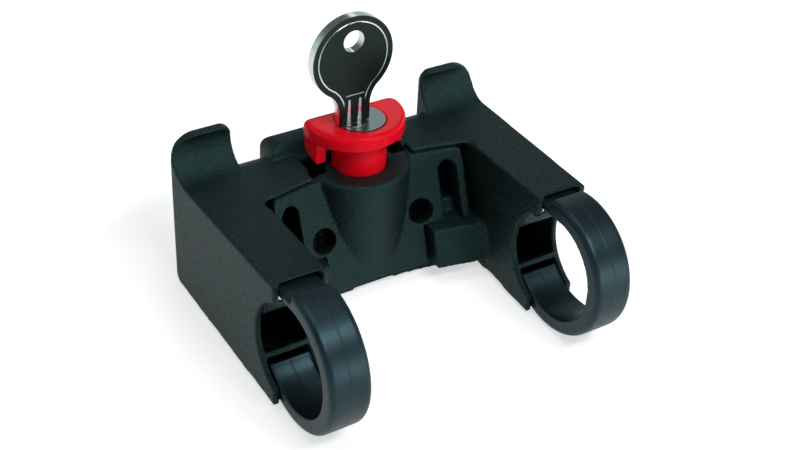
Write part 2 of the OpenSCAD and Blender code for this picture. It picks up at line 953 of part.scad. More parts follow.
// Line cut round each face of the bow, which closes across the neck.
module key_line() {
  line_in = 1.6;
  line_w = 0.35;
  line_low = 42.6;
  difference() {
    key_head(line_low, line_in);
    key_head(line_low + line_w, line_in + line_w);
  }
}

// Two grooves up the neck that narrow to their upper ends.
module key_grooves() {
  middle = (neck_right - neck_left) / 2;
  for (x = [middle - 1.7, middle + 1.7]) {
    polygon([[x - 0.7, button_top], [x + 0.7, button_top], [x + 0.3, groove_top], [x - 0.3, groove_top]]);
  }
}

module key() {
  cut = 0.2;
  seat_z = button_top + 0.5;
  tip_z = barrel_low + 1.6;
  color([0.55, 0.56, 0.57]) translate([plug_x, plug_y, 0]) difference() {
    union() {
      along_y(-bow_t / 2, bow_t / 2) key_head(seat_z);
      box(-blade_w / 2, blade_w / 2, -blade_t / 2, blade_t / 2, tip_z, seat_z + 1);
    }
    along_y(-big, big) translate([-bow_off, key_top - 7.4]) circle(key_hole_d / 2);
    for (face = [-1, 1]) {
      along_y(face * bow_t / 2 - cut, face * bow_t / 2 + cut) {
        key_line();
        key_grooves();
      }
    }
  }
}

main_frame();
mechanism_carrier();
carrier_screws();
clamp_strap_left();
clamp_strap_right();
clamp_screw_left();
clamp_screw_right();
clamp_washer_left();
clamp_washer_right();
clamp_nut_left();
clamp_nut_right();
release_button();
latch_slider();
button_spring();
lock_barrel();
barrel_clip();
lock_plug();
lock_wafers();
lock_cam();
cam_screw();
key();
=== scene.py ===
# %% [markdown]
# # A handlebar bag adapter
#
# The object is a black moulded bracket. Two round clamps hold it to a handlebar, two hooks carry a bag, and a
# red push button with a cylinder lock lets the bag go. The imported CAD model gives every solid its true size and
# place. This script adds what the eye sees: soft moulded edges, pebbled and smooth plastics, plated metals, a
# studio and a camera. All lengths are in metres, so a helper turns millimetres into metres.

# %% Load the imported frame
import json
import math

import bmesh
import bpy
from mathutils import Matrix, Vector

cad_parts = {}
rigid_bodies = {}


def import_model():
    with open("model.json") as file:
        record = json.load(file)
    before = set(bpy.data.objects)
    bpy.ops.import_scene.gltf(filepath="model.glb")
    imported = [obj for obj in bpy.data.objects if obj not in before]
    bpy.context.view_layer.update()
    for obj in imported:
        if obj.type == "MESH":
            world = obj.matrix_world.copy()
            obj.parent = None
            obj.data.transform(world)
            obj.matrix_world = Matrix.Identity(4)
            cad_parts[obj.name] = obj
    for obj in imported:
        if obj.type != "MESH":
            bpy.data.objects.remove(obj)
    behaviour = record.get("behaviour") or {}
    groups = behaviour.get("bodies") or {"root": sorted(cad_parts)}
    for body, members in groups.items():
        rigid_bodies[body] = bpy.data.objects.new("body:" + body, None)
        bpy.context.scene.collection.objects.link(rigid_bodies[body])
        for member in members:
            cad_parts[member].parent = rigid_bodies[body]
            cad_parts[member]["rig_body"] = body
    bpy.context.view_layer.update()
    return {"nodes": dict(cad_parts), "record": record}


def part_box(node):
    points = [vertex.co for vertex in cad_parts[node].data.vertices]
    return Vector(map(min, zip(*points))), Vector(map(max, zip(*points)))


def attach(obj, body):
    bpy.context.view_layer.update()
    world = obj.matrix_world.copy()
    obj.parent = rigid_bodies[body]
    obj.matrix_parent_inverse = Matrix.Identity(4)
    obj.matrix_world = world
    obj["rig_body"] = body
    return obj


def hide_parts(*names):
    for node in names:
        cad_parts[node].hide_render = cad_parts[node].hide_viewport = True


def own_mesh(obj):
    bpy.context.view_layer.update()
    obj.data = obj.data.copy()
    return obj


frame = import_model()
nodes = frame["nodes"]


def mm(*lengths):
    """Turns millimetres into metres: one number, or a tuple of them."""
    return lengths[0] / 1000 if len(lengths) == 1 else tuple(v / 1000 for v in lengths)


# %% [markdown]
# ## Shader maths
#
# A material's pattern is a small sum, so it reads best as a Python expression. The class below wraps a node's
# output, and each operator adds one Math node. A second class makes a material and adds any other node with one
# method: the node's settings come first, and then the values or links of its sockets.


# %% A socket that takes part in a sum
class Value:
    """One output socket; the operators on it add Math nodes to its tree."""

    def __init__(self, tree, socket):
        self.tree, self.socket = tree, socket

    def sum_node(self, operation, first, second=None):
        node = self.tree.nodes.new("ShaderNodeMath")
        node.operation = operation
        for place, term in enumerate((first, second)):
            if term is None:
                continue
            if isinstance(term, Value):
                self.tree.links.new(term.socket, node.inputs[place])
            else:
                node.inputs[place].default_value = term
        return Value(self.tree, node.outputs[0])

    def __add__(self, other):
        return self.sum_node("ADD", self, other)

    def __radd__(self, other):
        return self.sum_node("ADD", other, self)

    def __sub__(self, other):
        return self.sum_node("SUBTRACT", self, other)

    def __rsub__(self, other):
        return self.sum_node("SUBTRACT", other, self)

    def __mul__(self, other):
        return self.sum_node("MULTIPLY", self, other)

    def __rmul__(self, other):
        return self.sum_node("MULTIPLY", other, self)

    def __pow__(self, other):
        return self.sum_node("POWER", self, other)

    def __abs__(self):
        return self.sum_node("ABSOLUTE", self)

    def sine(self):
        return self.sum_node("SINE", self)

    def root(self):
        return self.sum_node("SQRT", self)

    def between(self, low, high):
        """0 below low, 1 above high, and a soft ramp from one to the other."""
        node = self.tree.nodes.new("ShaderNodeMapRange")
        node.interpolation_type = "SMOOTHSTEP"
        self.tree.links.new(self.socket, node.inputs["Value"])
        node.inputs["From Min"].default_value = low
        node.inputs["From Max"].default_value = high
        return Value(self.tree, node.outputs[0])


class Finish:
    """A material with one Principled shader, and the one method that adds any other node."""

    def __init__(self, name, colour, rough, metal=0.0, **uniform):
        self.material = bpy.data.materials.new(name)
        self.material.use_nodes = True
        self.tree = self.material.node_tree
        self.shader = self.tree.nodes["Principled BSDF"]
        uniform.update({"Base Color": (*colour, 1), "Roughness": rough, "Metallic": metal})
        for socket, value in uniform.items():
            self.shader.inputs[socket].default_value = value
        self.material.diffuse_color = (*colour, 1)

    def node(self, kind, settings=None, **sockets):
        """Adds a node, sets it, then fills its sockets; a double underscore in a name stands for a space."""
        made = self.tree.nodes.new(kind)
        for key, value in (settings or {}).items():
            setattr(made, key, value)
        for key, value in sockets.items():
            self.feed(made.inputs[key.replace("__", " ")], value)
        return made

    def feed(self, socket, value):
        if isinstance(value, Value):
            value = value.socket
        if isinstance(value, bpy.types.NodeSocket):
            self.tree.links.new(value, socket)
        else:
            socket.default_value = value

    def value(self, made, output=0):
        return Value(self.tree, made.outputs[output])

    def place(self):
        """The point on the piece, in metres, as a vector socket and as three values."""
        spot = self.node("ShaderNodeTexCoord").outputs["Object"]
        apart = self.node("ShaderNodeSeparateXYZ", Vector=spot)
        return spot, [self.value(apart, axis) for axis in range(3)]

    def noise(self, size, detail=2.0, spot=None, rough=0.5):
        """Noise whose features are about size metres across, as a value from 0 to 1."""
        made = self.node("ShaderNodeTexNoise", Vector=spot or self.place()[0], Scale=1 / size,
                         Detail=detail, Roughness=rough)
        return self.value(made)

    def cells(self, size, spot=None):
        """Distance to the middle of the nearest of many small cells about size metres across."""
        made = self.node("ShaderNodeTexVoronoi", Vector=spot or self.place()[0], Scale=1 / size)
        return self.value(made, "Distance")

    def blend(self, factor, low, high):
        """A colour between low and high."""
        made = self.node("ShaderNodeMix", {"data_type": "RGBA"})
        self.feed(made.inputs["Factor"], factor)
        for name, colour in (("A", low), ("B", high)):
            socket = [s for s in made.inputs if s.name == name and s.type == "RGBA"][0]
            self.feed(socket, (*colour, 1) if isinstance(colour, tuple) else colour)
        return [s for s in made.outputs if s.type == "RGBA"][0]

    def bump(self, height, depth, strength=1.0):
        """Turns a height from 0 to 1 into relief that is depth metres deep."""
        made = self.node("ShaderNodeBump", Height=height, Distance=depth, Strength=strength)
        self.feed(self.shader.inputs["Normal"], made.outputs[0])

    def set(self, name, value):
        self.feed(self.shader.inputs[name], value)


print("shader helpers ready")

# %% [markdown]
# ## Plastics
#
# The bracket and the carrier are moulded in a filled black plastic with a pebbled skin, which the mould's
# spark-eroded walls leave. The skin is cells about half a millimetre wide with shallow valleys between them, and
# handling leaves the tops of the pebbles a little glossier; their colour is also painted paler there, as painted
# glints, over a random drift in tone. The clamp bands come from a smoother mould in a softer plastic that looks
# blue-black, with a fine seam where the mould's halves met. The button is bright red and glossy. Image textures
# would show their seams on such cut-up shapes, so noise in three dimensions makes all of this: it runs through
# the piece like the grain in wood and needs no unwrapping.


# %% Pebbled black plastic
def pebbled_black(name, grain=0.00055, colour=(0.0050, 0.0088, 0.0088)):
    skin = Finish(name, colour, 0.42, **{"Specular IOR Level": 0.37, "Specular Tint": (0.42, 1.0, 1.0, 1)})
    spot, _ = skin.place()
    pebbles = skin.cells(grain, spot)
    drift = skin.noise(mm(9), 3, spot)
    cloud = skin.noise(mm(1.7), 2, spot)
    skin.bump(1 - pebbles * 0.9 + cloud * 0.35, mm(0.20), 1.0)
    # The pebbles' tops are painted paler as painted glints, mixed with a random drift in tone.
    pebble_glints_and_drift = (1 - pebbles).between(0.55, 0.95) * 0.6 + drift * 0.4
    skin.set("Base Color", skin.blend(pebble_glints_and_drift, tuple(c * 0.65 for c in colour), tuple(c * 3.2 for c in colour)))
    skin.set("Roughness", 0.29 + pebbles * 0.28 + drift * 0.05)
    print(name, "has pebbles about", round(grain * 1000, 2), "mm wide")
    return skin.material


# %% Smooth black plastic of the bands
def band_black(name, seam_x=mm(41.7), colour=(0.0066, 0.0115, 0.0150)):
    skin = Finish(name, colour, 0.33, **{"Specular IOR Level": 0.52, "Specular Tint": (0.46, 0.88, 1.0, 1)})
    spot, (x, _, _) = skin.place()
    seam = 1 - abs(abs(x) - seam_x).between(mm(0.12), mm(0.32))
    cloud = skin.noise(mm(2.4), 3, spot)
    grain = skin.noise(mm(0.35), 2, spot)
    skin.bump(seam * 0.8 + grain * 0.12 + cloud * 0.12, mm(0.10), 0.7)
    skin.set("Base Color", skin.blend(cloud, colour, tuple(c * 1.3 for c in colour)))
    skin.set("Roughness", 0.31 + cloud * 0.10 + grain * 0.04)
    print(name, "has its seam at", round(seam_x * 1000, 1), "mm from the middle")
    return skin.material


# %% Glossy red plastic of the button
def glossy_red(name, colour=(0.90, 0.004, 0.016)):
    skin = Finish(name, colour, 0.22, **{"Specular IOR Level": 0.35, "Specular Tint": (1, 0.16, 0.22, 1)})
    spot, _ = skin.place()
    drift = skin.noise(mm(6), 2, spot)
    waves = skin.noise(mm(1.6), 2, spot)
    skin.set("Base Color", skin.blend(drift, (0.86, 0.003, 0.013), (0.95, 0.005, 0.019)))
    skin.set("Roughness", 0.19 + waves * 0.08)
    skin.bump(waves, mm(0.02), 0.35)
    return skin.material


print("plastics ready")

# %% [markdown]
# ## Metals
#
# The lock's face is turned, so fine rings run round its middle, and the plug inside it is polished brighter. The
# key is nickel plated: its flat faces are painted dark as a painted reflection of dim surroundings, while its
# edges, its border line and its grooves stay bright, with faint scratches along the blade. A mask on the distance
# from the key's middle plane tells the two apart.
# The clamp screws, washers and nuts are zinc plated, which clouds the shine, and the carrier's screws are black
# oxide, darkened further as painted shade of their deep recesses.


# %% Turned face of the lock
def turned_zinc(name, middle, colour=(0.27, 0.315, 0.33), rough=0.3):
    metal = Finish(name, colour, rough, 1.0)
    spot, (x, y, _) = metal.place()
    out = ((x - middle[0]) ** 2 + (y - middle[1]) ** 2).root()
    rings = (out * (2 * math.pi / mm(0.22))).sine() * 0.5 + 0.5
    cloud = metal.noise(mm(1.4), 3, spot)
    metal.bump(rings * 0.5 + cloud * 0.2, mm(0.012), 0.45)
    metal.set("Roughness", rough + cloud * 0.14 - 0.05)
    metal.set("Base Color", metal.blend(cloud, colour, tuple(min(1, c * 1.15) for c in colour)))
    print(name, "turned about", [round(v * 1000, 1) for v in middle])
    return metal.material


# %% Plated metal with fine scratches along one axis
def plated(name, colour, rough, along=(1, 1, 0.05), scratch=0.25, cloudy=0.1):
    metal = Finish(name, colour, rough, 1.0)
    spot, _ = metal.place()
    drawn = metal.node("ShaderNodeMapping", Vector=spot, Scale=along).outputs[0]
    lines = metal.noise(mm(0.12), 3, drawn, 0.6)
    cloud = metal.noise(mm(2), 3, spot)
    metal.bump(lines, mm(0.006), scratch)
    metal.set("Roughness", rough + lines * 0.06 + cloud * cloudy - 0.05)
    metal.set("Base Color", metal.blend(cloud, colour, tuple(min(1, c * 1.12) for c in colour)))
    return metal.material


# %% Key: flat faces painted dark as a painted reflection, bright borders and grooves
def key_plate(name, middle_y, half_thick, bright=(0.88, 0.91, 0.91), painted_reflection_colour=(0.026, 0.036, 0.032)):
    metal = Finish(name, bright, 0.18, 1.0)
    spot, (_, y, _) = metal.place()
    drawn = metal.node("ShaderNodeMapping", Vector=spot, Scale=(1, 1, 0.05)).outputs[0]
    lines = metal.noise(mm(0.12), 3, drawn, 0.6)
    cloud = metal.noise(mm(2), 3, spot)
    # The mask marks the key's flat faces, whose colour is painted dark as a painted reflection.
    face = abs(y - middle_y).between(half_thick - mm(0.09), half_thick - mm(0.02))
    metal.bump(lines, mm(0.005), 0.2)
    metal.set("Base Color", metal.blend(face, bright, painted_reflection_colour))
    metal.set("Roughness", 0.16 + lines * 0.05 + cloud * 0.06)
    return metal.material


# %% The finishes by slot
button_middle = mm(0, 48.2)
plug_middle = mm(-2.4, 47.8)
key_half_thick = mm(1.35)
all_ways = (1, 1, 1)
finishes = {
    "moulded_black": pebbled_black("moulded_black"),
    "band_black": band_black("band_black"),
    "button_red": glossy_red("button_red"),
    "lock_zinc": turned_zinc("lock_zinc", button_middle),
    "plug_chrome": turned_zinc("plug_chrome", plug_middle, (0.90, 0.91, 0.92), 0.14),
    "key_nickel": key_plate("key_nickel", plug_middle[1], key_half_thick),
    "wafer_brass": plated("wafer_brass", (0.72, 0.52, 0.22), 0.3),
    "zinc_steel": plated("zinc_steel", (0.62, 0.63, 0.66), 0.28, all_ways, 0.2, 0.2),
    "spring_steel": plated("spring_steel", (0.50, 0.51, 0.53), 0.25, all_ways, 0.3),
    # The carrier's screws are black oxide, darkened further as painted shade of their deep recesses.
    "black_oxide": plated("black_oxide", (0.005, 0.0055, 0.006), 0.5, all_ways, 0.2),
}
slot_of = {entry["node"]: entry["material_slot"] for entry in frame["record"]["subparts"]}
for name, piece in nodes.items():
    piece.data.materials.clear()
    piece.data.materials.append(finishes[slot_of[name]])
print("finishes:", sorted(finishes))

# %% [markdown]
# ## Soft moulded edges
#
# A mould never leaves a knife edge: every outer edge of the bracket has a small radius that catches the light,
# and every inner corner is filled a little. Bevelling the CAD mesh edge by edge would fail where many cuts meet.
# So each moulded piece is a copy of its CAD mesh, rebuilt on a fine voxel grid and relaxed, which rounds all
# edges by the same small amount, and then thinned where it is flat.


# %% A softened copy of a CAD node
def body_of(node):
    return nodes[node]["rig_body"]


def plain_copy(node, name):
    """A copy of a CAD node's mesh with its doubled points merged."""
    mesh = nodes[node].data.copy()
    mesh.name = name
    piece = bpy.data.objects.new(name, mesh)
    bpy.context.scene.collection.objects.link(piece)
    shape = bmesh.new()
    shape.from_mesh(mesh)
    bmesh.ops.remove_doubles(shape, verts=shape.verts, dist=mm(0.004))
    shape.to_mesh(mesh)
    shape.free()
    return piece


def apply_modifiers(piece):
    """Turns the piece, as its modifiers show it, into a plain mesh."""
    shown = piece.evaluated_get(bpy.context.evaluated_depsgraph_get())
    mesh = bpy.data.meshes.new_from_object(shown)
    piece.modifiers.clear()
    piece.data = mesh


def triangles(piece):
    return sum(len(face.vertices) - 2 for face in piece.data.polygons)


def add_bar(piece, sections):
    """Lays a closed bar into the piece; each section is its corners, in mm and in the same order."""
    shape = bmesh.new()
    shape.from_mesh(piece.data)
    rings = [[shape.verts.new(mm(*corner)) for corner in section] for section in sections]
    faces = [shape.faces.new(rings[0]), shape.faces.new(rings[-1][::-1])]
    for first, second in zip(rings, rings[1:]):
        for place in range(len(first)):
            after = (place + 1) % len(first)
            faces.append(shape.faces.new((first[place], second[place], second[after], first[after])))
    bmesh.ops.recalc_face_normals(shape, faces=faces)
    shape.to_mesh(piece.data)
    shape.free()


def soften(node, name, voxel, passes, most, rounder=(), bars=()):
    """A copy of node with edges rounded over about voxel times the root of passes, and with any bars grown on."""
    piece = plain_copy(node, name)
    for sections in bars:
        add_bar(piece, sections)
    remesh = piece.modifiers.new("grid", "REMESH")
    remesh.mode, remesh.voxel_size = "VOXEL", voxel
    relax = piece.modifiers.new("relax", "SMOOTH")
    relax.factor, relax.iterations = 0.5, passes
    apply_modifiers(piece)
    for away, reach, more in rounder:
        relax_near(piece, away, reach, more)
    fine = triangles(piece)
    if fine > most:
        thin = piece.modifiers.new("thin", "DECIMATE")
        thin.ratio = most / fine
        apply_modifiers(piece)
    finish_piece(piece, node)
    print(name, "triangles:", fine, "->", triangles(piece))


def relax_near(piece, away, reach, passes):
    """Rounds the piece further where away, a point's distance from an edge, is under reach."""
    group = piece.vertex_groups.new(name="edge")
    for vertex in piece.data.vertices:
        near = 2 - 2 * away(*vertex.co) / reach
        if near > 0:
            group.add([vertex.index], min(1, near), "REPLACE")
    relax = piece.modifiers.new("round", "SMOOTH")
    relax.factor, relax.iterations, relax.vertex_group = 0.5, passes, "edge"
    apply_modifiers(piece)
    piece.vertex_groups.clear()


def stand_for(piece, node):
    """Gives the piece the node's finish and body, and lets it take the node's place."""
    piece.data.materials.clear()
    piece.data.materials.append(finishes[slot_of[node]])
    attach(piece, body_of(node))
    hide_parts(node)


def finish_piece(piece, node):
    """Shades the piece smoothly and lets it take the node's place."""
    piece.data.polygons.foreach_set("use_smooth", [True] * len(piece.data.polygons))
    piece.data.update()
    stand_for(piece, node)


# %% [markdown]
# ## Where one radius isn't enough
#
# A few places of the real bracket are rounder than the rest: the top edge of the ledge over the carrier's plate,
# and the corners where the ledge and the lugs meet the arms. The plate's front is hollow, part of a wide leaning
# cylinder, and the ledge and lugs follow it, so a point's distance from such an edge is easy to work out. A vertex
# group built from that distance lets the same smoothing work harder there, and nowhere else.

# %% Where the frame is rounded more
plate_lean = math.radians(19.8)
plate_edge = mm(0, 45.5, 18.6)
hollow_r, ledge_r, lug_r = mm(128), mm(128.8), mm(124.5)
wall_x, top_z = 33.65, 19.9
arm_wall_x, frame_top = mm(wall_x), mm(top_z)
far_away = 1.0


def hollow_radius(x, y, z):
    """Distance of a point from the axis of the leaning plate's hollow face."""
    through = (y - plate_edge[1]) * math.cos(plate_lean) - (z - plate_edge[2]) * math.sin(plate_lean)
    return math.hypot(x, through + hollow_r)


def from_ledge(x, y, z):
    """Distance from the ledge's top edge, which runs from arm to arm."""
    if abs(x) > arm_wall_x + mm(1) or z < mm(17):
        return far_away
    return math.hypot(hollow_radius(x, y, z) - ledge_r, z - frame_top)


def from_ledge_corner(x, y, z):
    """Distance from the upright corners between the ledge and the arms' walls."""
    if z < mm(18):
        return far_away
    return math.hypot(hollow_radius(x, y, z) - ledge_r, abs(x) - arm_wall_x)


def from_lug_corner(x, y, z):
    """Distance from the corners between the lugs at the plate's foot and the arms' walls."""
    if z > mm(-1):
        return far_away
    return math.hypot(hollow_radius(x, y, z) - lug_r, abs(x) - arm_wall_x)


# edge, reach, passes of smoothing
frame_rounder = [(from_ledge, mm(1.8), 10), (from_ledge_corner, mm(4), 50), (from_lug_corner, mm(5), 60)]
print("corners rounded more:", [edge.__name__ for edge, _, _ in frame_rounder])

# %% [markdown]
# ## Sharper edges and a narrower notch
#
# The top edges of the real arms are sharper than the CAD part's, and the notch for the button's legs is narrower
# at the housing's foot. A voxel grid joins whatever overlaps, so a closed bar that is laid into the copy before it
# is rebuilt becomes one with it. The bars along the arms follow the arms' own walls, so the hollow for the band's
# tongue stays open, and they run out into the rounded body at their far end.

# %% Bars that sharpen the arms' top edges and narrow the notch
def upright(x0, x1, y, z0, z1):
    """The corners of a bar's section that stands across the bracket's depth at y."""
    return [(x0, y, z0), (x1, y, z0), (x1, y, z1), (x0, y, z1)]


def outer_face(y):
    """How far out the arm's outer face is: 1 mm more at the bag side than at the mouth."""
    return 49.75 + (y - mouth_y) / 57.8


# in mm: where the arm's top starts, where its hollow starts, the feet of the bars
mouth_y, hollow_x, foot_z, web_foot_z = 6.2, 35.45, 17, 16.8
frame_bars, carrier_bars = [], []
for side in (-1, 1):
    frame_bars += [
        # along the arm's outer edge
        [upright(side * (outer_face(y) - 2 - sunk), side * (outer_face(y) - sunk), y, foot_z, top_z - sunk)
         for y, sunk in ((mouth_y, 0), (58, 0), (62, 0.9))],
        # along the arm's inner edge
        [upright(side * (wall_x + sunk), side * hollow_x, y, foot_z, top_z - sunk)
         for y, sunk in ((mouth_y, 0), (42, 0), (44, 0.9))],
        # along the notch
        [upright(side * 15.3, side * 17.4, y, foot_z, top_z - sunk)
         for y, sunk in ((49.6, 0.9), (50.6, 0), (57, 0))],
    ]
    carrier_bars += [
        # beside the housing's foot
        [upright(side * 7.6, side * 10.5, y, web_foot_z, 19.2) for y in (46.4, 50.2)],
        # along the notch
        [upright(side * 15.4, side * 17.2, y, web_foot_z, 18.4) for y in (46.4, 49.2)],
    ]
print("bars:", len(frame_bars), "in the frame,", len(carrier_bars), "in the carrier")

# %% The moulded pieces
# node, name, voxel, passes of smoothing, most triangles
soften("main_frame", "frame_moulding", mm(0.4), 6, 195000, frame_rounder, frame_bars)
soften("mechanism_carrier", "carrier_moulding", mm(0.4), 4, 90000, (), carrier_bars)
soften("clamp_strap_left", "band_left", mm(0.4), 5, 80000)
soften("clamp_strap_right", "band_right", mm(0.4), 5, 80000)
soften("latch_slider", "slider_moulding", mm(0.4), 3, 40000)
soften("release_button", "button_moulding", mm(0.25), 16, 100000)

# %% [markdown]
# ## Screws
#
# The CAD screws are plain cylinders, but real ones have a thread that winds round the shank. A thread follows a
# rule, so Geometry Nodes make it: a spiral carries a small triangle from one end of the shank to the other. The
# same tree makes the head and cuts its hexagon socket, and its inputs are the screw's real sizes. The two clamp
# screws come from it. The small screws keep their CAD mesh, which has all that can be seen of them.


# %% A node tree that makes a threaded screw
class NodeMaker:
    """Adds Geometry nodes to a tree and links whatever the inputs are given."""

    def __init__(self, tree):
        self.tree = tree

    def add(self, kind, settings=None, **sockets):
        node = self.tree.nodes.new(kind)
        for key, value in (settings or {}).items():
            setattr(node, key, value)
        for key, value in sockets.items():
            socket = node.inputs[key.replace("__", " ")]
            if isinstance(value, bpy.types.NodeSocket):
                self.tree.links.new(value, socket)
            else:
                socket.default_value = value
        return node.outputs[0]

    def sum(self, operation, first, second):
        node = self.tree.nodes.new("ShaderNodeMath")
        node.operation = operation
        for place, term in enumerate((first, second)):
            if isinstance(term, bpy.types.NodeSocket):
                self.tree.links.new(term, node.inputs[place])
            else:
                node.inputs[place].default_value = term
        return node.outputs[0]

    def raised(self, mesh, height):
        place = self.add("ShaderNodeCombineXYZ", Z=height)
        return self.add("GeometryNodeTransform", Geometry=mesh, Translation=place)

    def joined(self, *parts):
        node = self.tree.nodes.new("GeometryNodeJoinGeometry")
        for part in reversed(parts):
            self.tree.links.new(part, node.inputs[0])
        return node.outputs[0]


SCREW_SIZES = ("Head radius", "Head height", "Shank radius", "Length", "Pitch", "Slot radius", "Slot depth")


def screw_tree():
    """The screw stands on z = 0 with its shank below and its head above."""
    tree = bpy.data.node_groups.new("threaded_screw", "GeometryNodeTree")
    for name in SCREW_SIZES:
        tree.interface.new_socket(name, in_out="INPUT", socket_type="NodeSocketFloat")
    tree.interface.new_socket("Slot sides", in_out="INPUT", socket_type="NodeSocketInt")
    tree.interface.new_socket("Finish", in_out="INPUT", socket_type="NodeSocketMaterial")
    tree.interface.new_socket("Geometry", in_out="OUTPUT", socket_type="NodeSocketGeometry")
    enter, leave = tree.nodes.new("NodeGroupInput"), tree.nodes.new("NodeGroupOutput")
    size = enter.outputs
    make = NodeMaker(tree)
    ridge = make.sum("MULTIPLY", size["Pitch"], 0.36)
    core = make.sum("SUBTRACT", size["Shank radius"], make.sum("MULTIPLY", size["Pitch"], 0.5))
    disc = make.add("GeometryNodeMeshCylinder", Vertices=48, Radius=size["Head radius"], Depth=size["Head height"])
    head = make.raised(disc, make.sum("MULTIPLY", size["Head height"], 0.5))
    slot_tool = make.add("GeometryNodeMeshCylinder", Vertices=size["Slot sides"], Radius=size["Slot radius"],
                         Depth=make.sum("MULTIPLY", size["Slot depth"], 2.0))
    slot_tool = make.raised(slot_tool, size["Head height"])
    cut = tree.nodes.new("GeometryNodeMeshBoolean")
    cut.operation, cut.solver = "DIFFERENCE", "EXACT"
    tree.links.new(head, cut.inputs["Mesh 1"])
    tree.links.new(slot_tool, cut.inputs["Mesh 2"])
    shank = make.add("GeometryNodeMeshCylinder", Vertices=32, Radius=core, Depth=size["Length"])
    shank = make.raised(shank, make.sum("MULTIPLY", size["Length"], -0.5))
    wound = make.sum("SUBTRACT", size["Length"], size["Pitch"])
    winding = make.add("GeometryNodeCurveSpiral", Resolution=28, Height=wound,
                       Rotations=make.sum("DIVIDE", wound, size["Pitch"]),
                       Start__Radius=make.sum("SUBTRACT", size["Shank radius"], ridge),
                       End__Radius=make.sum("SUBTRACT", size["Shank radius"], ridge))
    section = make.add("GeometryNodeCurvePrimitiveCircle", Resolution=3, Radius=ridge)
    thread = make.add("GeometryNodeCurveToMesh", Curve=winding, Profile__Curve=section, Fill__Caps=True)
    thread = make.raised(thread, make.sum("MULTIPLY", size["Length"], -1.0))
    whole = make.add("GeometryNodeRealizeInstances", Geometry=make.joined(cut.outputs["Mesh"], shank, thread))
    whole = make.add("GeometryNodeSetMaterial", Geometry=whole, Material=size["Finish"])
    tree.links.new(whole, leave.inputs["Geometry"])
    return tree


threaded_screw = screw_tree()
print("the screw's tree has", len(threaded_screw.nodes), "nodes")


# %% Make a screw's mesh and stand it in its place
def shade_by_angle(mesh, angle=math.radians(32)):
    """Smooths the shading across flat angles and keeps it crisp across sharp ones."""
    mesh.polygons.foreach_set("use_smooth", [True] * len(mesh.polygons))
    shape = bmesh.new()
    shape.from_mesh(mesh)
    bmesh.ops.recalc_face_normals(shape, faces=shape.faces)
    for edge in shape.edges:
        edge.smooth = len(edge.link_faces) == 2 and edge.calc_face_angle(0) < angle
    shape.to_mesh(mesh)
    shape.free()


def screw_mesh(sizes, sides, finish):
    """One screw as a plain mesh, evaluated from the tree with the given sizes."""
    base = bpy.data.objects.new("screw_base", bpy.data.meshes.new("screw_base"))
    bpy.context.scene.collection.objects.link(base)
    winder = base.modifiers.new("screw", "NODES")
    winder.node_group = threaded_screw
    keys = {item.name: item.identifier for item in threaded_screw.interface.items_tree if item.in_out == "INPUT"}
    for name, value in zip(SCREW_SIZES, sizes):
        winder[keys[name]] = value
    winder[keys["Slot sides"]] = sides
    winder[keys["Finish"]] = finish
    apply_modifiers(base)
    mesh = base.data
    bpy.data.objects.remove(base)
    shade_by_angle(mesh)
    return mesh


def stand_screw(node, name, sizes, sides, place):
    """A screw that takes the node's place; the matrix turns z to the screw's axis."""
    mesh = screw_mesh(sizes, sides, finishes[slot_of[node]])
    mesh.name = name
    mesh.transform(place)
    piece = bpy.data.objects.new(name, mesh)
    bpy.context.scene.collection.objects.link(piece)
    stand_for(piece, node)
    print(name, "triangles:", triangles(piece))


# %% The clamp screws
to_bag_side = Matrix.Rotation(math.radians(-90), 4, "X")
hexagon = 6
# in the order of SCREW_SIZES
clamp_screw = mm(4.25, 5, 2.5, 47.3, 0.8, 2.3, 2.6)
screw_x, seat_y, screw_z = 41.7, 62.3, 9.5
for side, label in ((-1, "left"), (1, "right")):
    head_place = Matrix.Translation(mm(side * screw_x, seat_y, screw_z)) @ to_bag_side
    stand_screw("clamp_screw_" + label, "hex_screw_" + label, clamp_screw, hexagon, head_place)

# %% [markdown]
# ## Spring
#
# The coil spring under the slider gets shorter on the real bracket as the button goes down. Here it sits on the
# bracket's post with its CAD shape and rides with its CAD node's body. The share of its height that it would keep,
# pressed towards its foot by a little more than the button travels so that its top coil stays clear of the slider,
# is worked out but not used.

# %% Spring on its post
spring = plain_copy("button_spring", "spring_coils")
finish_piece(spring, "button_spring")
shade_by_angle(spring.data)
spring_low, spring_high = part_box("button_spring")
spring_tall = spring_high[2] - spring_low[2]
# 7.2 mm is the button's travel of 7 mm and a little air, and the spring's axis stands 0.05 m forward
(spring_tall - mm(7.2)) / spring_tall
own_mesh(spring)
print("spring stands", round(spring_tall * 1000, 1), "mm high at rest")

# %% [markdown]
# ## Studio
#
# The bracket lies on a white table, on the bands' lower sides and the far edge of its underside, so the table
# leans a little in the bracket's own frame. The table is pale for light that bounces, and white only where the
# camera, or a mirror-like surface, looks at it. The studio is pale round the horizon, which the bracket's upright
# faces mirror, and dim overhead, so the tops stay dark. Five soft lamps help: one at the left, two on the rider's
# side of which the high narrow one draws the light lines along the edges, one overhead, and a faint one behind
# that shows in the lock's face.

# %% Table
lean = math.radians(3.885)
ring_low = mm(20.8)


def table_material(own_white):
    """White paper: a lit diffuse sheet, and what it lacks to white where the camera or a gloss looks at it."""
    paper = Finish("table_paper", (0.80, 0.80, 0.80), 0.9)
    spot, _ = paper.place()
    grain = paper.noise(mm(30), 2, spot)
    paper.set("Base Color", paper.blend(grain, (0.80, 0.80, 0.80), (0.83, 0.83, 0.83)))
    path = paper.node("ShaderNodeLightPath")
    seen = paper.value(path, "Is Camera Ray") + paper.value(path, "Is Glossy Ray") * 0.5
    paper.set("Emission Color", paper.blend(seen, (0.0, 0.0, 0.0), (1.0, 1.0, 1.0)))
    paper.set("Emission Strength", own_white)
    return paper.material


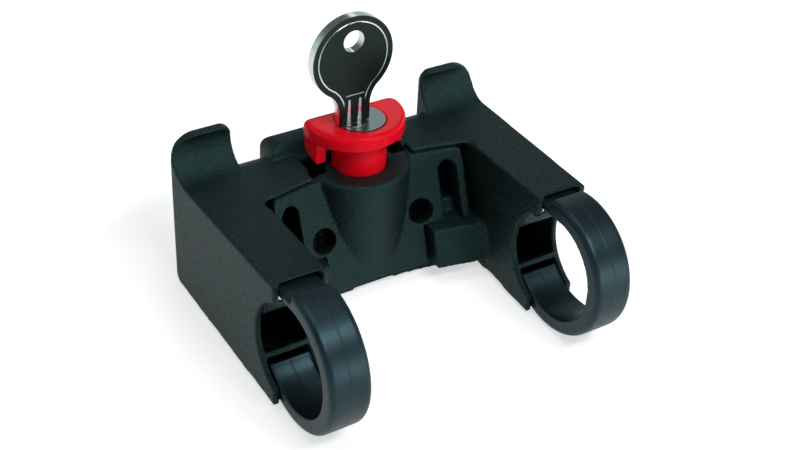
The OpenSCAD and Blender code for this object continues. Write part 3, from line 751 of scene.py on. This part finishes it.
half_side, gap = 3.0, mm(0.05)
corners = [(-half_side, -half_side), (half_side, -half_side), (half_side, half_side), (-half_side, half_side)]
table_mesh = bpy.data.meshes.new("table")
table_mesh.from_pydata(
    [(x, y * math.cos(lean), y * math.sin(lean) - (ring_low + gap) / math.cos(lean)) for x, y in corners],
    [], [(0, 1, 2, 3)])
table = bpy.data.objects.new("table", table_mesh)
bpy.context.scene.collection.objects.link(table)
table_mesh.materials.append(table_material(own_white=0.58))
print("table leans", round(math.degrees(lean), 2), "degrees")


# %% World and lamps
def background(horizon, zenith):
    """A studio that is pale round the horizon and dim overhead, and plain white where the camera looks at it."""
    world = bpy.data.worlds.new("studio")
    bpy.context.scene.world = world
    world.use_nodes = True
    tree = world.node_tree
    tree.nodes.clear()
    path = tree.nodes.new("ShaderNodeLightPath")
    way = tree.nodes.new("ShaderNodeTexCoord")
    apart = tree.nodes.new("ShaderNodeSeparateXYZ")
    tree.links.new(way.outputs["Generated"], apart.inputs[0])
    height = Value(tree, apart.outputs[2]).between(0.05, 0.55)
    ramp = tree.nodes.new("ShaderNodeMix")
    ramp.data_type = "RGBA"
    tree.links.new(height.socket, ramp.inputs["Factor"])
    low, high = [socket for socket in ramp.inputs if socket.type == "RGBA"]
    low.default_value, high.default_value = (*horizon, 1), (*zenith, 1)
    fill = tree.nodes.new("ShaderNodeBackground")
    tree.links.new([socket for socket in ramp.outputs if socket.type == "RGBA"][0], fill.inputs["Color"])
    white = tree.nodes.new("ShaderNodeBackground")
    white.inputs["Color"].default_value = (1, 1, 1, 1)
    mix = tree.nodes.new("ShaderNodeMixShader")
    out = tree.nodes.new("ShaderNodeOutputWorld")
    tree.links.new(path.outputs["Is Camera Ray"], mix.inputs[0])
    tree.links.new(fill.outputs[0], mix.inputs[1])
    tree.links.new(white.outputs[0], mix.inputs[2])
    tree.links.new(mix.outputs[0], out.inputs["Surface"])


def lamp(name, place, aim, size, power, colour):
    """A soft rectangular lamp that looks from its place to what it is aimed at."""
    data = bpy.data.lights.new(name, "AREA")
    data.shape = "RECTANGLE"
    data.size, data.size_y = size
    data.energy = power
    data.color = colour
    light = bpy.data.objects.new(name, data)
    light.location = place
    light.rotation_euler = (Vector(aim) - Vector(place)).to_track_quat("-Z", "Y").to_euler()
    bpy.context.scene.collection.objects.link(light)


background((0.44, 0.56, 0.60), (0.08, 0.09, 0.09))
bracket_middle = mm(0, 30, 5)
warm, white = (1, 0.98, 0.96), (1, 1, 1)
# name: place and size in metres, power in watts, colour
lamps = {
    "left_high": ((-0.60, 0.35, 0.65), (0.5, 0.5), 0.6, warm),
    "front_low": ((0.40, -0.80, 0.06), (0.5, 0.3), 1.9, warm),
    "front_high": ((0.15, -0.50, 0.74), (0.60, 0.16), 3.9, white),
    "top_box": ((0.00, 0.10, 0.90), (0.5, 0.5), 1.4, white),
    "rear_small": ((0.42, 0.62, 0.52), (0.25, 0.25), 0.20, white),
}
for name, (place, size, power, colour) in lamps.items():
    lamp(name, place, bracket_middle, size, power, colour)

# %% [markdown]
# ## Camera
#
# The camera was found by fitting a pinhole camera to points of the photograph: it stands 376 mm away, to the
# left, on the rider's side and above, and is turned slightly because the bracket leans on the table.

# %% Camera
focal_pixels, picture_wide, sensor_mm = 1382.62, 800, 36
camera_data = bpy.data.cameras.new("camera")
camera_data.sensor_width = sensor_mm
camera_data.lens = focal_pixels / picture_wide * sensor_mm
camera_data.clip_start = mm(10)
camera = bpy.data.objects.new("camera", camera_data)
camera_place = mm(-175.5, -238.2, 233.3)
# the camera's own three directions
right, up, back = (0.8483, -0.5275, 0.0452), (0.2724, 0.5082, 0.8170), (-0.4540, -0.6808, 0.5749)
turn = Matrix((right, up, back)).transposed().to_4x4()
camera.matrix_world = Matrix.Translation(camera_place) @ turn
bpy.context.scene.collection.objects.link(camera)
bpy.context.scene.camera = camera
bpy.context.scene.view_settings.view_transform = "Standard"
print("lens", round(camera_data.lens, 2), "mm, camera at", camera_place)
